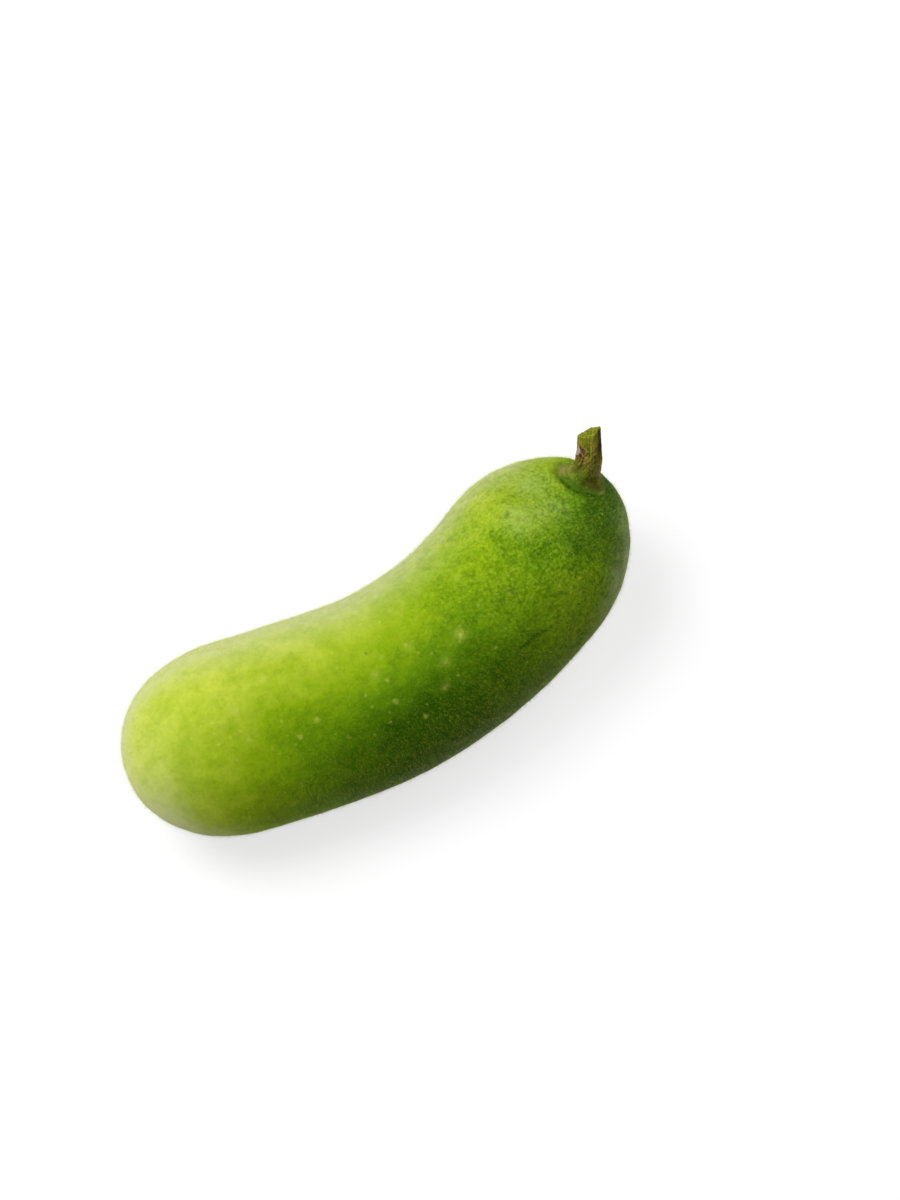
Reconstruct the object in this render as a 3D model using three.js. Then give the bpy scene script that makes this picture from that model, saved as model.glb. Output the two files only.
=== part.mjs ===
// A fuzzy melon as picked: one curved fruit lying on its side, with its cut stalk on the shoulder.
// Millimetres, +Z up, +X from the blossom end to the stalk end. The origin is the middle of the
// outer box, on the surface that the fruit lies on.
import * as THREE from "three";
import { mergeVertices } from "three/addons/utils/BufferGeometryUtils.js";

const { clamp, degToRad, smoothstep } = THREE.MathUtils;

// The fruit. Distances along it run from the blossom pole to the stalk pole, on its centreline.
const fruitLength = 210;
const blossomRadius = 36;
const middleRadius = 34.5;
const shoulderRadius = 35.5;
const blossomCap = 44.5; // length of the rounded blossom end
const stalkCap = 43.5; // length of the rounded stalk end
const blossomRoundness = 2.08; // 2 is an ellipse, more is blunter
const stalkRoundness = 2.12;

// Its bend, seen from above, and how its two ends leave the level.
const startHeading = -14.8; // degrees from +X, so that the poles lie on a line along +X
const turn = 34.2; // degrees
const turnFrom = 0.26 * fruitLength;
const turnTo = 0.84 * fruitLength;
const noseDip = 12; // degrees by which the blossom end points down
const noseLength = 55;
const shoulderRise = 57; // degrees by which the stalk end points up
const shoulderLength = 68;

// Uneven growth, as shares of the radius.
const ovalness = 0.009;
const threeSidedness = 0.006;
const waviness = 0.005;
const waveLength = 120;

const scarRadius = 3.6; // the dimple where the flower was
const scarDepth = 1;
const groundFlat = 0.7; // how far the soft belly flattens where it rests

// The stalk. Heights run along it from the fruit's stalk pole, and its root is below zero.
const stalkHeight = 18.2;
const rootDepth = 3;
const rootRadius = 4.2;
const footRadius = 8.5; // where the stalk spreads over the skin
const footEdge = 0.5; // thickness of the foot at its rim
const neckRadius = 5.2;
const waistRadius = 4.35;
const tipRadius = 4.1;
const stalkHeading = 59.5; // degrees from +X
const stalkPitch = 51; // degrees above the level
const bendTop = 11; // height at which it has turned from the fruit's direction to its own
const ribCount = 5;
const ribDepth = 0.1; // as a share of the radius
const cutSlope = 0.42; // fall of the slanting cut across the stalk
const cutFacing = 192; // degrees round the stalk, the side to which the cut face looks
const seatGap = 0.3; // between the stalk and its seat in the fruit

const fruitSides = 60;
const stalkSides = 40;
const capRings = 13;
const bodyRings = 22;

// A direction from its degrees round from +X and its degrees above the level.
function directionOf(heading, pitch) {
  const flat = Math.cos(degToRad(pitch));
  return new THREE.Vector3(
    Math.cos(degToRad(heading)) * flat,
    Math.sin(degToRad(heading)) * flat,
    Math.sin(degToRad(pitch)),
  );
}

// Points 1 mm apart along a line, whose direction is known at each distance from its start.
function walk(start, length, directionAt) {
  const points = [start];
  for (let distance = 0; distance < length; distance++) {
    points.push(points.at(-1).clone().add(directionAt(distance + 0.5)));
  }
  return points;
}

// A point of such a line. Past its ends it runs straight on.
function pointOn(line, distance) {
  const from = clamp(Math.floor(distance), 0, line.length - 2);
  return line[from].clone().lerp(line[from + 1], distance - from);
}

// The point at a distance off a line and an angle round it: 0 is to its right, 90 degrees above.
function pointAround(centre, direction, radius, angle) {
  const side = new THREE.Vector3().crossVectors(direction, new THREE.Vector3(0, 0, 1)).normalize();
  const over = new THREE.Vector3().crossVectors(side, direction);
  return centre
    .clone()
    .addScaledVector(side, radius * Math.cos(angle))
    .addScaledVector(over, radius * Math.sin(angle));
}

// Radius of the fruit's body at a distance along it, before its ends are rounded.
function bodyRadius(along) {
  const t = along / fruitLength;
  const blossomShare = 2 * (t - 0.5) * (t - 1);
  const middleShare = 4 * t * (1 - t);
  const shoulderShare = 2 * t * (t - 0.5);
  return blossomRadius * blossomShare + middleRadius * middleShare + shoulderRadius * shoulderShare;
}

// How full the fruit is at a distance from one of its poles: 0 at the pole, 1 past the rounded end.
function fullness(fromPole, cap, roundness) {
  const missing = Math.max(0, 1 - fromPole / cap);
  return (1 - missing ** roundness) ** (1 / roundness);
}

function skinRadius(along) {
  const blossomEnd = fullness(along, blossomCap, blossomRoundness);
  const stalkEnd = fullness(fruitLength - along, stalkCap, stalkRoundness);
  return bodyRadius(along) * blossomEnd * stalkEnd;
}

// How far the skin has fallen below the stalk pole, at a radius from it.
function fallFromPole(radius) {
  const missing = (1 - (radius / shoulderRadius) ** stalkRoundness) ** (1 / stalkRoundness);
  return stalkCap * (1 - missing);
}

function fruitDirection(along) {
  const heading = startHeading + turn * smoothstep(along, turnFrom, turnTo);
  const nose = noseDip * (1 - smoothstep(along, 0, noseLength));
  const shoulder = shoulderRise * Math.max(0, 1 - (fruitLength - along) / shoulderLength) ** 2;
  return directionOf(heading, nose + shoulder);
}

const fruitLine = walk(new THREE.Vector3(), fruitLength, fruitDirection);

function fruitCentre(along) {
  const centre = pointOn(fruitLine, along);
  centre.z += bodyRadius(along); // the belly runs level, however thick the fruit is
  return centre;
}

// How far out the skin lies at an angle about the centreline, with 1 as round. The belly is even.
function unevenness(along, angle) {
  const oval = ovalness * Math.cos(2 * angle + 0.8);
  const sided = threeSidedness * Math.cos(3 * angle - 1.1 + along / 60);
  const wave = waviness * Math.sin((2 * Math.PI * along) / waveLength + 2 * Math.cos(angle));
  const aboveBelly = smoothstep(Math.sin(angle), -1, -0.3);
  return 1 + (oval + sided + wave) * aboveBelly;
}

function fruitPoint(along, radius, angle) {
  const reach = radius * unevenness(along, angle);
  return pointAround(fruitCentre(along), fruitDirection(along), reach, angle);
}

// The fruit's outline from pole to pole, with the blossom dimple and the seat of the stalk.
function fruitProfile() {
  const profile = [new THREE.Vector2(0, scarDepth), new THREE.Vector2(scarRadius / 2, scarDepth)];
  const addRing = (along) => profile.push(new THREE.Vector2(skinRadius(along), along));
  for (let ring = 2; ring <= capRings; ring++) {
    addRing(blossomCap * (1 - Math.cos(((ring / capRings) * Math.PI) / 2)));
  }
  const bodyLength = fruitLength - blossomCap - stalkCap;
  for (let ring = 1; ring < bodyRings; ring++) {
    addRing(blossomCap + (bodyLength * ring) / bodyRings);
  }
  const seatRadius = rootRadius + seatGap;
  const seatEdge = Math.asin(1 - fallFromPole(seatRadius) / stalkCap);
  for (let ring = 0; ring <= capRings; ring++) {
    addRing(fruitLength - stalkCap * (1 - Math.sin((seatEdge * ring) / capRings)));
  }
  const seatBottom = fruitLength - rootDepth - 2 * seatGap;
  profile.push(new THREE.Vector2(seatRadius, seatBottom), new THREE.Vector2(0, seatBottom));
  return profile;
}

// The stalk leaves the pole in the fruit's own direction and then bends upwards.
const poleDirection = fruitDirection(fruitLength);
const stalkLine = walk(
  fruitCentre(fruitLength).addScaledVector(poleDirection, -rootDepth),
  rootDepth + stalkHeight,
  (distance) => stalkDirection(distance - rootDepth),
);

function stalkDirection(height) {
  const own = directionOf(stalkHeading, stalkPitch);
  return poleDirection.clone().lerp(own, smoothstep(height, 0, bendTop)).normalize();
}

function stalkPoint(height, radius, angle) {
  const slant = cutSlope * smoothstep(height, bendTop, stalkHeight);
  const cutHeight = height - slant * radius * Math.cos(angle - degToRad(cutFacing));
  const ribs = ribDepth * smoothstep(height, -1, 2) * Math.cos(ribCount * angle);
  const centre = pointOn(stalkLine, cutHeight + rootDepth);
  return pointAround(centre, stalkDirection(cutHeight), radius * (1 + ribs), angle);
}

function stalkProfile() {
  const seatHeight = (radius) => seatGap - fallFromPole(radius);
  return [
    [0, -rootDepth],
    [rootRadius, -rootDepth],
    [rootRadius, seatHeight(rootRadius)],
    [footRadius, seatHeight(footRadius)],
    [footRadius, seatHeight(footRadius) + footEdge],
    [footRadius - 1.8, 0.9],
    [neckRadius + 0.6, 2.2],
    [neckRadius + 0.1, 4],
    [(neckRadius + waistRadius) / 2, 7.5],
    [waistRadius + 0.1, 10],
    [waistRadius, 12.5],
    [tipRadius, 15.5],
    [tipRadius, stalkHeight - 1],
    [tipRadius - 0.2, stalkHeight],
    [0, stalkHeight],
  ].map(([radius, height]) => new THREE.Vector2(radius, height));
}

// A shape turned round +Y, with every vertex then moved to the place that a function gives it.
function lathed(profile, sides, placeAt) {
  const geometry = new THREE.LatheGeometry(profile, sides);
  const position = geometry.getAttribute("position");
  const vertex = new THREE.Vector3();
  for (let i = 0; i < position.count; i++) {
    vertex.fromBufferAttribute(position, i);
    const radius = Math.hypot(vertex.x, vertex.z);
    const moved = placeAt(vertex.y, radius, Math.atan2(vertex.z, vertex.x));
    position.setXYZ(i, moved.x, moved.y, moved.z);
  }
  return closed(geometry);
}

// A turned shape as one closed mesh, without the faces that have no area at its poles.
function closed(geometry) {
  geometry.deleteAttribute("normal");
  geometry.deleteAttribute("uv");
  const merged = mergeVertices(geometry, 1e-3);
  const corners = merged.index.array;
  const kept = [];
  for (let i = 0; i < corners.length; i += 3) {
    const [a, b, c] = corners.subarray(i, i + 3);
    if (a !== b && b !== c && c !== a) kept.push(a, b, c);
  }
  merged.setIndex(kept);
  return merged;
}

function named(name, geometry, color, roughness) {
  geometry.computeVertexNormals();
  const material = new THREE.MeshStandardMaterial({ color, roughness, metalness: 0 });
  const mesh = new THREE.Mesh(geometry, material);
  mesh.name = name;
  return mesh;
}

// Lowers the fruit until its belly is pressed flat, and the stalk with it.
function settle(fruit, stalk) {
  fruit.computeBoundingBox();
  const drop = fruit.boundingBox.min.z + groundFlat;
  stalk.translate(0, 0, -drop);
  const position = fruit.getAttribute("position");
  for (let i = 0; i < position.count; i++) {
    position.setZ(i, Math.max(0, position.getZ(i) - drop));
  }
}

const fruitShape = lathed(fruitProfile(), fruitSides, fruitPoint);
const stalkShape = lathed(stalkProfile(), stalkSides, stalkPoint);
settle(fruitShape, stalkShape);

const melon = new THREE.Group();
melon.add(named("fruit", fruitShape, 0x8fae2a, 0.5));
melon.add(named("stalk", stalkShape, 0x6b6a1f, 0.8));
const middle = new THREE.Box3().setFromObject(melon).getCenter(new THREE.Vector3());
melon.position.set(-middle.x, -middle.y, 0);

export default melon;
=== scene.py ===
import bpy
import numpy as np
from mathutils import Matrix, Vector


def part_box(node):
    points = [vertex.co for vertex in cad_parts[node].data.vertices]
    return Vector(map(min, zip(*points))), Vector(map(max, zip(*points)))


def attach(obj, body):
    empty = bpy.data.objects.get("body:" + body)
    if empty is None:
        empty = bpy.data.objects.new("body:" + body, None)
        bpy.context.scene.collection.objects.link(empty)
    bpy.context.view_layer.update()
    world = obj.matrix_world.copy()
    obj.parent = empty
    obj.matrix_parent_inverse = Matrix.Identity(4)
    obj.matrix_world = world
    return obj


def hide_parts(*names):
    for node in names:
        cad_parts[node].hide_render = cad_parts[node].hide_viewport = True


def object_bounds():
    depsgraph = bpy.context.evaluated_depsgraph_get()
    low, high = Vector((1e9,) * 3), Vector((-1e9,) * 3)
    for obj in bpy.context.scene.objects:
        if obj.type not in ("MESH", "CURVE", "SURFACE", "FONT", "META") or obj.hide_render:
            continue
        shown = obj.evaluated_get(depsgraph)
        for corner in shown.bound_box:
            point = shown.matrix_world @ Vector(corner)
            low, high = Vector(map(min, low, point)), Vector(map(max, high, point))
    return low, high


# A whole fuzzy melon as picked, lying on its belly, with its cut stalk.
# The dictionaries are in millimetres and degrees unless a note says otherwise.
mm = 0.001
lineStep = 0.25  # between the points of a centreline
farAway = 99  # from a place that only one end of the fruit has

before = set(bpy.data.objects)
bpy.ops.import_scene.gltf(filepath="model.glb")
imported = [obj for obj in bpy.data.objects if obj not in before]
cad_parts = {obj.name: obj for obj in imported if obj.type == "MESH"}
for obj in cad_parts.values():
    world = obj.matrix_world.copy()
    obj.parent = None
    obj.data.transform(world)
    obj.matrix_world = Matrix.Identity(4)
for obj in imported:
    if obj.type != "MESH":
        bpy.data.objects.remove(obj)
cadLow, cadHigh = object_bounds()
print("frame loaded:", ", ".join(sorted(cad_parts)))


# small helpers

def smoothStep(value, low, high):
    share = np.clip((value - low) / (high - low), 0, 1)
    return share * share * (3 - 2 * share)


def directionOf(heading, pitch):
    heading, pitch = np.radians(heading), np.radians(pitch)
    flat = np.cos(pitch)
    return np.stack([np.cos(heading) * flat, np.sin(heading) * flat, np.sin(pitch)], axis=-1)


def walkLine(start, length, directionAt):
    # evenly spaced points along a line whose direction is known everywhere
    middles = (np.arange(round(length / lineStep)) + 0.5) * lineStep
    return np.vstack([start, start + np.cumsum(directionAt(middles) * lineStep, axis=0)])


def pointOn(line, distance):
    place = np.asarray(distance) / lineStep
    before = np.clip(np.floor(place), 0, len(line) - 2).astype(int)
    share = (place - before)[..., None]
    return line[before] + (line[before + 1] - line[before]) * share


def pointAround(centre, direction, radius, angle):
    # angle 0 is to the right of the line, 90 degrees is above it
    side = np.cross(direction, (0, 0, 1))
    side /= np.linalg.norm(side, axis=-1, keepdims=True)
    over = np.cross(side, direction)
    return centre + side * (radius * np.cos(angle))[..., None] + over * (radius * np.sin(angle))[..., None]


def waves(points, height, seed, count, shortest, longest):
    # gentle unevenness from plane waves in random directions, typically within plus or minus the height
    random = np.random.default_rng(seed)
    total = np.zeros(points.shape[:-1])
    for _ in range(count):
        way = random.normal(size=3)
        way /= np.linalg.norm(way)
        length = random.uniform(shortest, longest)
        total += np.sin(points @ way * (2 * np.pi / length) + random.uniform(0, 2 * np.pi))
    return height * (total / np.sqrt(count / 2))


def bump(distance, width):
    return np.exp(-(distance / width) ** 2)


def band(value, start, full, ebb, gone):
    # 1 between full and ebb, and 0 before start and after gone
    return smoothStep(value, start, full) * (1 - smoothStep(value, ebb, gone))


def angleApart(angle, degrees):
    # the signed angle from a number of degrees, in radians
    return np.angle(np.exp(1j * (angle - np.radians(degrees))))


def degreesApart(angle, degrees):
    return np.degrees(np.abs(angleApart(angle, degrees)))


def facingTo(angle, degrees):
    return np.cos(angle - np.radians(degrees))


def sideAt(angle, side):
    # degrees, spread in radians
    degrees, spread = side
    return bump(angleApart(angle, degrees), spread)


def ringAt(radius, ring):
    # height, radius, width
    height, place, width = ring
    return height * bump(radius - place, width)


def spotAt(angle, radius, spot):
    # degrees, spread in radians, radius, width
    return sideAt(angle, spot[:2]) * bump(radius - spot[2], spot[3])


def gridOf(places, sides):
    return np.meshgrid(places, np.arange(sides) * (2 * np.pi / sides), indexing="ij")


def unrolled(radius, angle, height):
    return np.stack([radius * np.cos(angle), radius * np.sin(angle), height], axis=-1)


def gridNormals(points):
    alongStep = np.gradient(points, axis=0)
    aroundStep = np.roll(points, -1, axis=1) - np.roll(points, 1, axis=1)
    normals = np.cross(alongStep, aroundStep)
    return normals / np.linalg.norm(normals, axis=-1, keepdims=True)


def placed(name, data):
    thing = bpy.data.objects.new(name, data)
    bpy.context.collection.objects.link(thing)
    return thing


def closedLoft(name, rings, startPole, endPole, attributes):
    # rings x sides x 3 points in millimetres, closed by a fan at each end; an attribute holds its values
    # on the rings and, unless they are 0, at the two poles
    ringCount, sides = rings.shape[:2]
    points = np.vstack([rings.reshape(-1, 3), startPole, endPole]) * mm
    index = np.arange(ringCount * sides).reshape(ringCount, sides)
    onward = np.roll(index, -1, axis=1)
    quads = np.stack([index[:-1], index[1:], onward[1:], onward[:-1]], axis=-1).reshape(-1, 4)
    first, last = ringCount * sides, ringCount * sides + 1
    startFan = np.stack([np.full(sides, first), index[0], onward[0]], axis=-1)
    endFan = np.stack([np.full(sides, last), onward[-1], index[-1]], axis=-1)
    mesh = bpy.data.meshes.new(name)
    mesh.from_pydata(points.tolist(), [], quads.tolist() + startFan.tolist() + endFan.tolist())
    for title, given in attributes.items():
        values, atStart, atEnd = given if isinstance(given, tuple) else (given, 0, 0)
        values = np.asarray(values, float)
        if values.ndim == 3:
            data = np.vstack([values.reshape(-1, 3), atStart, atEnd]) * mm
            mesh.attributes.new(title, "FLOAT_VECTOR", "POINT").data.foreach_set("vector", data.ravel())
        else:
            data = np.concatenate([values.ravel(), [atStart, atEnd]])
            mesh.attributes.new(title, "FLOAT", "POINT").data.foreach_set("value", data)
    mesh.shade_smooth()
    return placed(name, mesh)


# the fruit's own shape: a bent line with a radius at each place along it

fruit = {
    "length": 210,
    "blossomRadius": 36, "middleRadius": 34.5, "shoulderRadius": 35.5,
    "blossomCap": 44.5, "stalkCap": 43.5,  # lengths of the rounded ends
    "blossomRoundness": 2.08, "stalkRoundness": 2.12,
    "startHeading": -14.8, "turn": 34.2, "turnFrom": 0.26 * 210, "turnTo": 0.84 * 210,
    "noseDip": 12, "noseLength": 55, "shoulderRise": 57, "shoulderLength": 68,
    "ovalness": 0.009, "threeSidedness": 0.006, "waviness": 0.005, "waveLength": 120,
    "groundFlat": 0.7, "groundEase": 0.4,
    # random waves: height, seed, how many, shortest and longest
    "lumps": (0.24, 11, 26, 26, 80), "dimples": (0.05, 12, 40, 5, 12),
    # rings of relief round the poles, as ringAt takes them: the blossom scar in its raised rim with soft
    # puckers, and furrows, a moat and a low swell round the stalk
    "scar": (-1.0, 0, 3.0), "scarRim": (0.3, 2.7, 0.55), "puckers": 9, "pucker": (-0.16, 6.5, 3.6),
    "furrows": 7, "furrow": (-0.32, 12, 5.5), "moat": (-0.4, 9.9, 0.9), "swell": (0.2, 12.6, 1.6),
    "sides": 284, "capRings": 84, "bodyRings": 160, "poleCrowding": 1.25,
}
bodyEnd = fruit["length"] - fruit["stalkCap"]  # where the stalk's rounded end begins


def bodyRadius(along):
    share = along / fruit["length"]
    return (fruit["blossomRadius"] * 2 * (share - 0.5) * (share - 1)
            + fruit["middleRadius"] * 4 * share * (1 - share)
            + fruit["shoulderRadius"] * 2 * share * (share - 0.5))


def fullness(fromPole, cap, roundness):
    missing = np.maximum(0, 1 - fromPole / cap)
    return (1 - missing ** roundness) ** (1 / roundness)


def skinRadius(along):
    blossomEnd = fullness(along, fruit["blossomCap"], fruit["blossomRoundness"])
    stalkEnd = fullness(fruit["length"] - along, fruit["stalkCap"], fruit["stalkRoundness"])
    return bodyRadius(along) * blossomEnd * stalkEnd


def fallFromPole(radius):
    # how far the skin has fallen below the stalk pole, at a radius from it
    power = fruit["stalkRoundness"]
    return fruit["stalkCap"] * (1 - (1 - (radius / fruit["shoulderRadius"]) ** power) ** (1 / power))


def fruitDirection(along):
    along = np.asarray(along, float)
    heading = fruit["startHeading"] + fruit["turn"] * smoothStep(along, fruit["turnFrom"], fruit["turnTo"])
    nose = fruit["noseDip"] * (1 - smoothStep(along, 0, fruit["noseLength"]))
    rise = np.maximum(0, 1 - (fruit["length"] - along) / fruit["shoulderLength"]) ** 2
    return directionOf(heading, nose + fruit["shoulderRise"] * rise)


fruitLine = walkLine(np.zeros(3), fruit["length"], fruitDirection)


def fruitCentre(along):
    centre = pointOn(fruitLine, along)
    centre[..., 2] += bodyRadius(along)  # the belly runs level, however thick the fruit is
    return centre


def unevenness(along, angle):
    oval = fruit["ovalness"] * np.cos(2 * angle + 0.8)
    sided = fruit["threeSidedness"] * np.cos(3 * angle - 1.1 + along / 60)
    wave = fruit["waviness"] * np.sin(2 * np.pi * along / fruit["waveLength"] + 2 * np.cos(angle))
    return 1 + (oval + sided + wave) * aboveBelly(angle)


def aboveBelly(angle):
    return smoothStep(np.sin(angle), -1, -0.3)


def fruitPoint(along, radius, angle):
    reach = radius * unevenness(along, angle)
    return pointAround(fruitCentre(along), fruitDirection(along), reach, angle)


def skinRelief(along, radius, angle, straight):
    # what stands proud of the plain shape, in millimetres along the normal
    relief = waves(straight, *fruit["lumps"]) * aboveBelly(angle) + waves(straight, *fruit["dimples"])
    wobble = 1 + 0.35 * np.sin(7 * angle + 1.0) + 0.25 * np.sin(11 * angle)
    pucker = 0.5 + 0.5 * np.cos(fruit["puckers"] * (angle + 0.02 * radius * np.sin(3 * angle)))
    furrow = 0.5 + 0.5 * np.cos(fruit["furrows"] * angle + 0.12 * radius + 0.6)
    blossomEnd = ringAt(radius, fruit["scar"]) + wobble * ringAt(radius, fruit["scarRim"])
    blossomEnd += pucker * ringAt(radius, fruit["pucker"])
    stalkEnd = furrow * ringAt(radius, fruit["furrow"]) + ringAt(radius, fruit["moat"])
    stalkEnd += ringAt(radius, fruit["swell"])
    return relief + blossomEnd * (along < fruit["blossomCap"]) + stalkEnd * (along > bodyEnd)


def pressedOn(points):
    # the belly flattens where it rests, with a soft edge to the flat
    ease = fruit["groundEase"]
    height = points[..., 2]
    eased = ease * ((np.clip(height, -ease, ease) + ease) / (2 * ease)) ** 2
    points[..., 2] = np.where(height > ease, height, eased)
    return points


tones = {
    # 0 is yellow-green and 1 deep green: along the top of the fruit, and along its shaded flank, where the
    # deeper green is partly the skin's own and partly painted shade
    "places": (0, 15, 45, 75, 105, 135, 165, 190, 210),
    "topGreen": (0.14, 0.3, 0.4, 0.48, 0.61, 0.68, 0.67, 0.66, 0.72),
    "flankGreenAndShade": (0.06, 0.3, 0.64, 0.92, 1.06, 0.92, 0.72, 0.95, 1.0),
    "flankAngle": -15, "flankFrom": 48, "flankTo": 122,
    "paleAngle": 165, "paleReach": 62, "paleBy": 0.24,  # the side away from it is paler, partly its own colour and partly painted light
    # painted light: a pale haze on that side, where the lamps fall, on the blossom end and under it: its
    # share, and where it ends
    "paintedLightSide": 0.36, "paintedLightSideAngles": (101, 138, 215, 300), "paintedLightSideEnds": (80, 190),
    "paintedLightEnd": 0.1, "paintedLightEndEnds": (6, 34),
    "paintedLightUnder": 0.56, "paintedLightUnderReach": 50, "paintedLightUnderEnds": (8, 24),
    # painted sheen of the down where the skin turns away: least on the shaded flank, and more on the ends
    "rimLeast": 0.01, "rimFlank": (40, 120), "rimEnds": (12, 45),
    "rimShoulder": (0.8, 187, 12), "rimStalk": (1.5, 12),
    # less down near the ground, on the scar and at the stalk's foot, and low on the shaded flank, where
    # thinning it keeps the painted shade there dark
    "downGround": (2.4, 5.0), "downFlankShade": (-0.5, -25, 45), "downScar": (2, 6), "downFoot": (-0.5, 1.5),
    # a dry spot, and painted shade in the crease where the stalk sits, as spotAt takes them
    "seatDry": (154, 0.42, 7.6, 1.6), "seatCreaseShade": (86, 1.0, 9.9, 0.9),
    # soft patches of bloom, partly real bloom and partly painted highlight, mostly towards the stalk end:
    # place along the fruit, angle round it, reach, share
    "bloomAndHighlightPales": 0.45,
    "bloomAndHighlightPatches": (
        (176, 98, 6.5, 0.17), (184, 99, 7, 0.22), (194, 95, 7, 0.17), (202, 88, 6, 0.16), (201, -8, 7, 0.3),
        (191, -12, 7, 0.38), (182, 3, 7, 0.32), (171, 4, 6.5, 0.28), (185, -26, 9, 0.6), (202, 126, 10, 0.2),
        (62, 236, 16, 0.2), (24, -48, 12, 0.16), (118, 206, 14, 0.2), (150, 262, 18, 0.25),
        (90, 300, 14, 0.16), (12, 150, 9, 0.12), (178, 190, 9, 0.2),
    ),
    # places that are greener or, below zero, paler: place along the fruit, angle round it, reach, change
    "greenPatches": (
        (163, 98, 6, 0.1), (167, 72, 10, 0.13), (188, 58, 7, 0.1), (183, 34, 7, -0.12), (151, 25, 9, -0.08),
        (178, 130, 11, -0.19), (184, -22, 9, -0.13), (96, 118, 9, -0.04), (58, 74, 10, 0.06),
        (128, 96, 9, 0.05), (204, 118, 11, 0.07),
    ),
    # a faint healed scratch: its places along the fruit and angles round it
    "scratch": ((151, 37), (144, 41), (138, 42)), "scratchBy": 0.13,
    "scratchWidth": 0.7,
    # single marks: place along the fruit, angle round it, reach, pale or dark share
    "marks": (
        (124, 73, 1.9, 0.5), (107, 84, 1.5, 0.35), (115, 65, 1.6, 0.35), (92, 78, 1.7, 0.3),
        (111, 52, 1.3, 0.35), (137, 101, 1.6, 0.3), (55, 98, 1.6, 0.4), (68, 118, 1.5, 0.35),
        (43, 84, 1.4, 0.3), (30, 112, 1.6, 0.3), (179, 106, 1.2, -0.7), (150, 128, 1.3, -0.35),
    ),
}


def greennessOf(along, angle):
    top = np.interp(along, tones["places"], tones["topGreen"])
    flank = np.interp(along, tones["places"], tones["flankGreenAndShade"])
    # towards the flank the deeper green is partly painted shade; the paler far side is partly painted light
    apart = degreesApart(angle, tones["flankAngle"])
    share = 1 - smoothStep(apart, tones["flankFrom"], tones["flankTo"])
    pale = bump(degreesApart(angle, tones["paleAngle"]), tones["paleReach"])
    return top + (flank - top) * share - tones["paleBy"] * pale


def fadeOut(along, key):
    # from the blossom pole on
    return 1 - smoothStep(along, *tones[key])


def paintedLightHazeOf(along, angle):
    # painted light: the skin paler on its lit side, on its blossom end and under that
    side = tones["paintedLightSide"] * band(np.degrees(angle), *tones["paintedLightSideAngles"])
    side *= fadeOut(along, "paintedLightSideEnds")
    under = tones["paintedLightUnder"] * bump(degreesApart(angle, 0), tones["paintedLightUnderReach"])
    under *= fadeOut(along, "paintedLightUnderEnds")
    return np.maximum(side, tones["paintedLightEnd"] * fadeOut(along, "paintedLightEndEnds") + under)


def placeOnSkin(place, degrees):
    return unrolled(skinRadius(place), np.radians(degrees), place)


def bumpsAt(straight, patches):
    # one soft bump for each patch: place along the fruit, angle round it, reach, height
    return [height * bump(np.linalg.norm(straight - placeOnSkin(place, degrees), axis=-1), reach)
            for place, degrees, reach, height in patches]


def fromScratch(straight):
    # distance from the scratch, which is a chain of short lines
    ends = [placeOnSkin(*end) for end in tones["scratch"]]
    distances = []
    for first, last in zip(ends, ends[1:]):
        way = last - first
        share = np.clip((straight - first) @ way / (way @ way), 0, 1)
        distances.append(np.linalg.norm(straight - first - share[..., None] * way, axis=-1))
    return np.min(distances, axis=0)


def paintedSheenRimOf(along, angle):
    # painted sheen of the down at the edges, kept off the shaded flank
    apart = degreesApart(angle, tones["flankAngle"])
    least = tones["rimLeast"]
    rim = least + (1 - least) * smoothStep(apart, *tones["rimFlank"])
    rim = np.maximum(np.maximum(rim, fadeOut(along, "rimEnds")), ringAt(along, tones["rimShoulder"]))
    return rim * smoothStep(fruit["length"] - along, *tones["rimStalk"])


def downOf(along, angle, radius, height):
    change, flankAngle, reach = tones["downFlankShade"]
    flank = 1 + change * bump(degreesApart(angle, flankAngle), reach)
    share = smoothStep(height, *tones["downGround"]) * flank
    share *= np.where(along < fruit["blossomCap"], smoothStep(radius, *tones["downScar"]), 1)
    fromFoot = np.where(along > bodyEnd, radius - stalk["footRadius"], farAway)
    return share * smoothStep(fromFoot, *tones["downFoot"])


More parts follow.
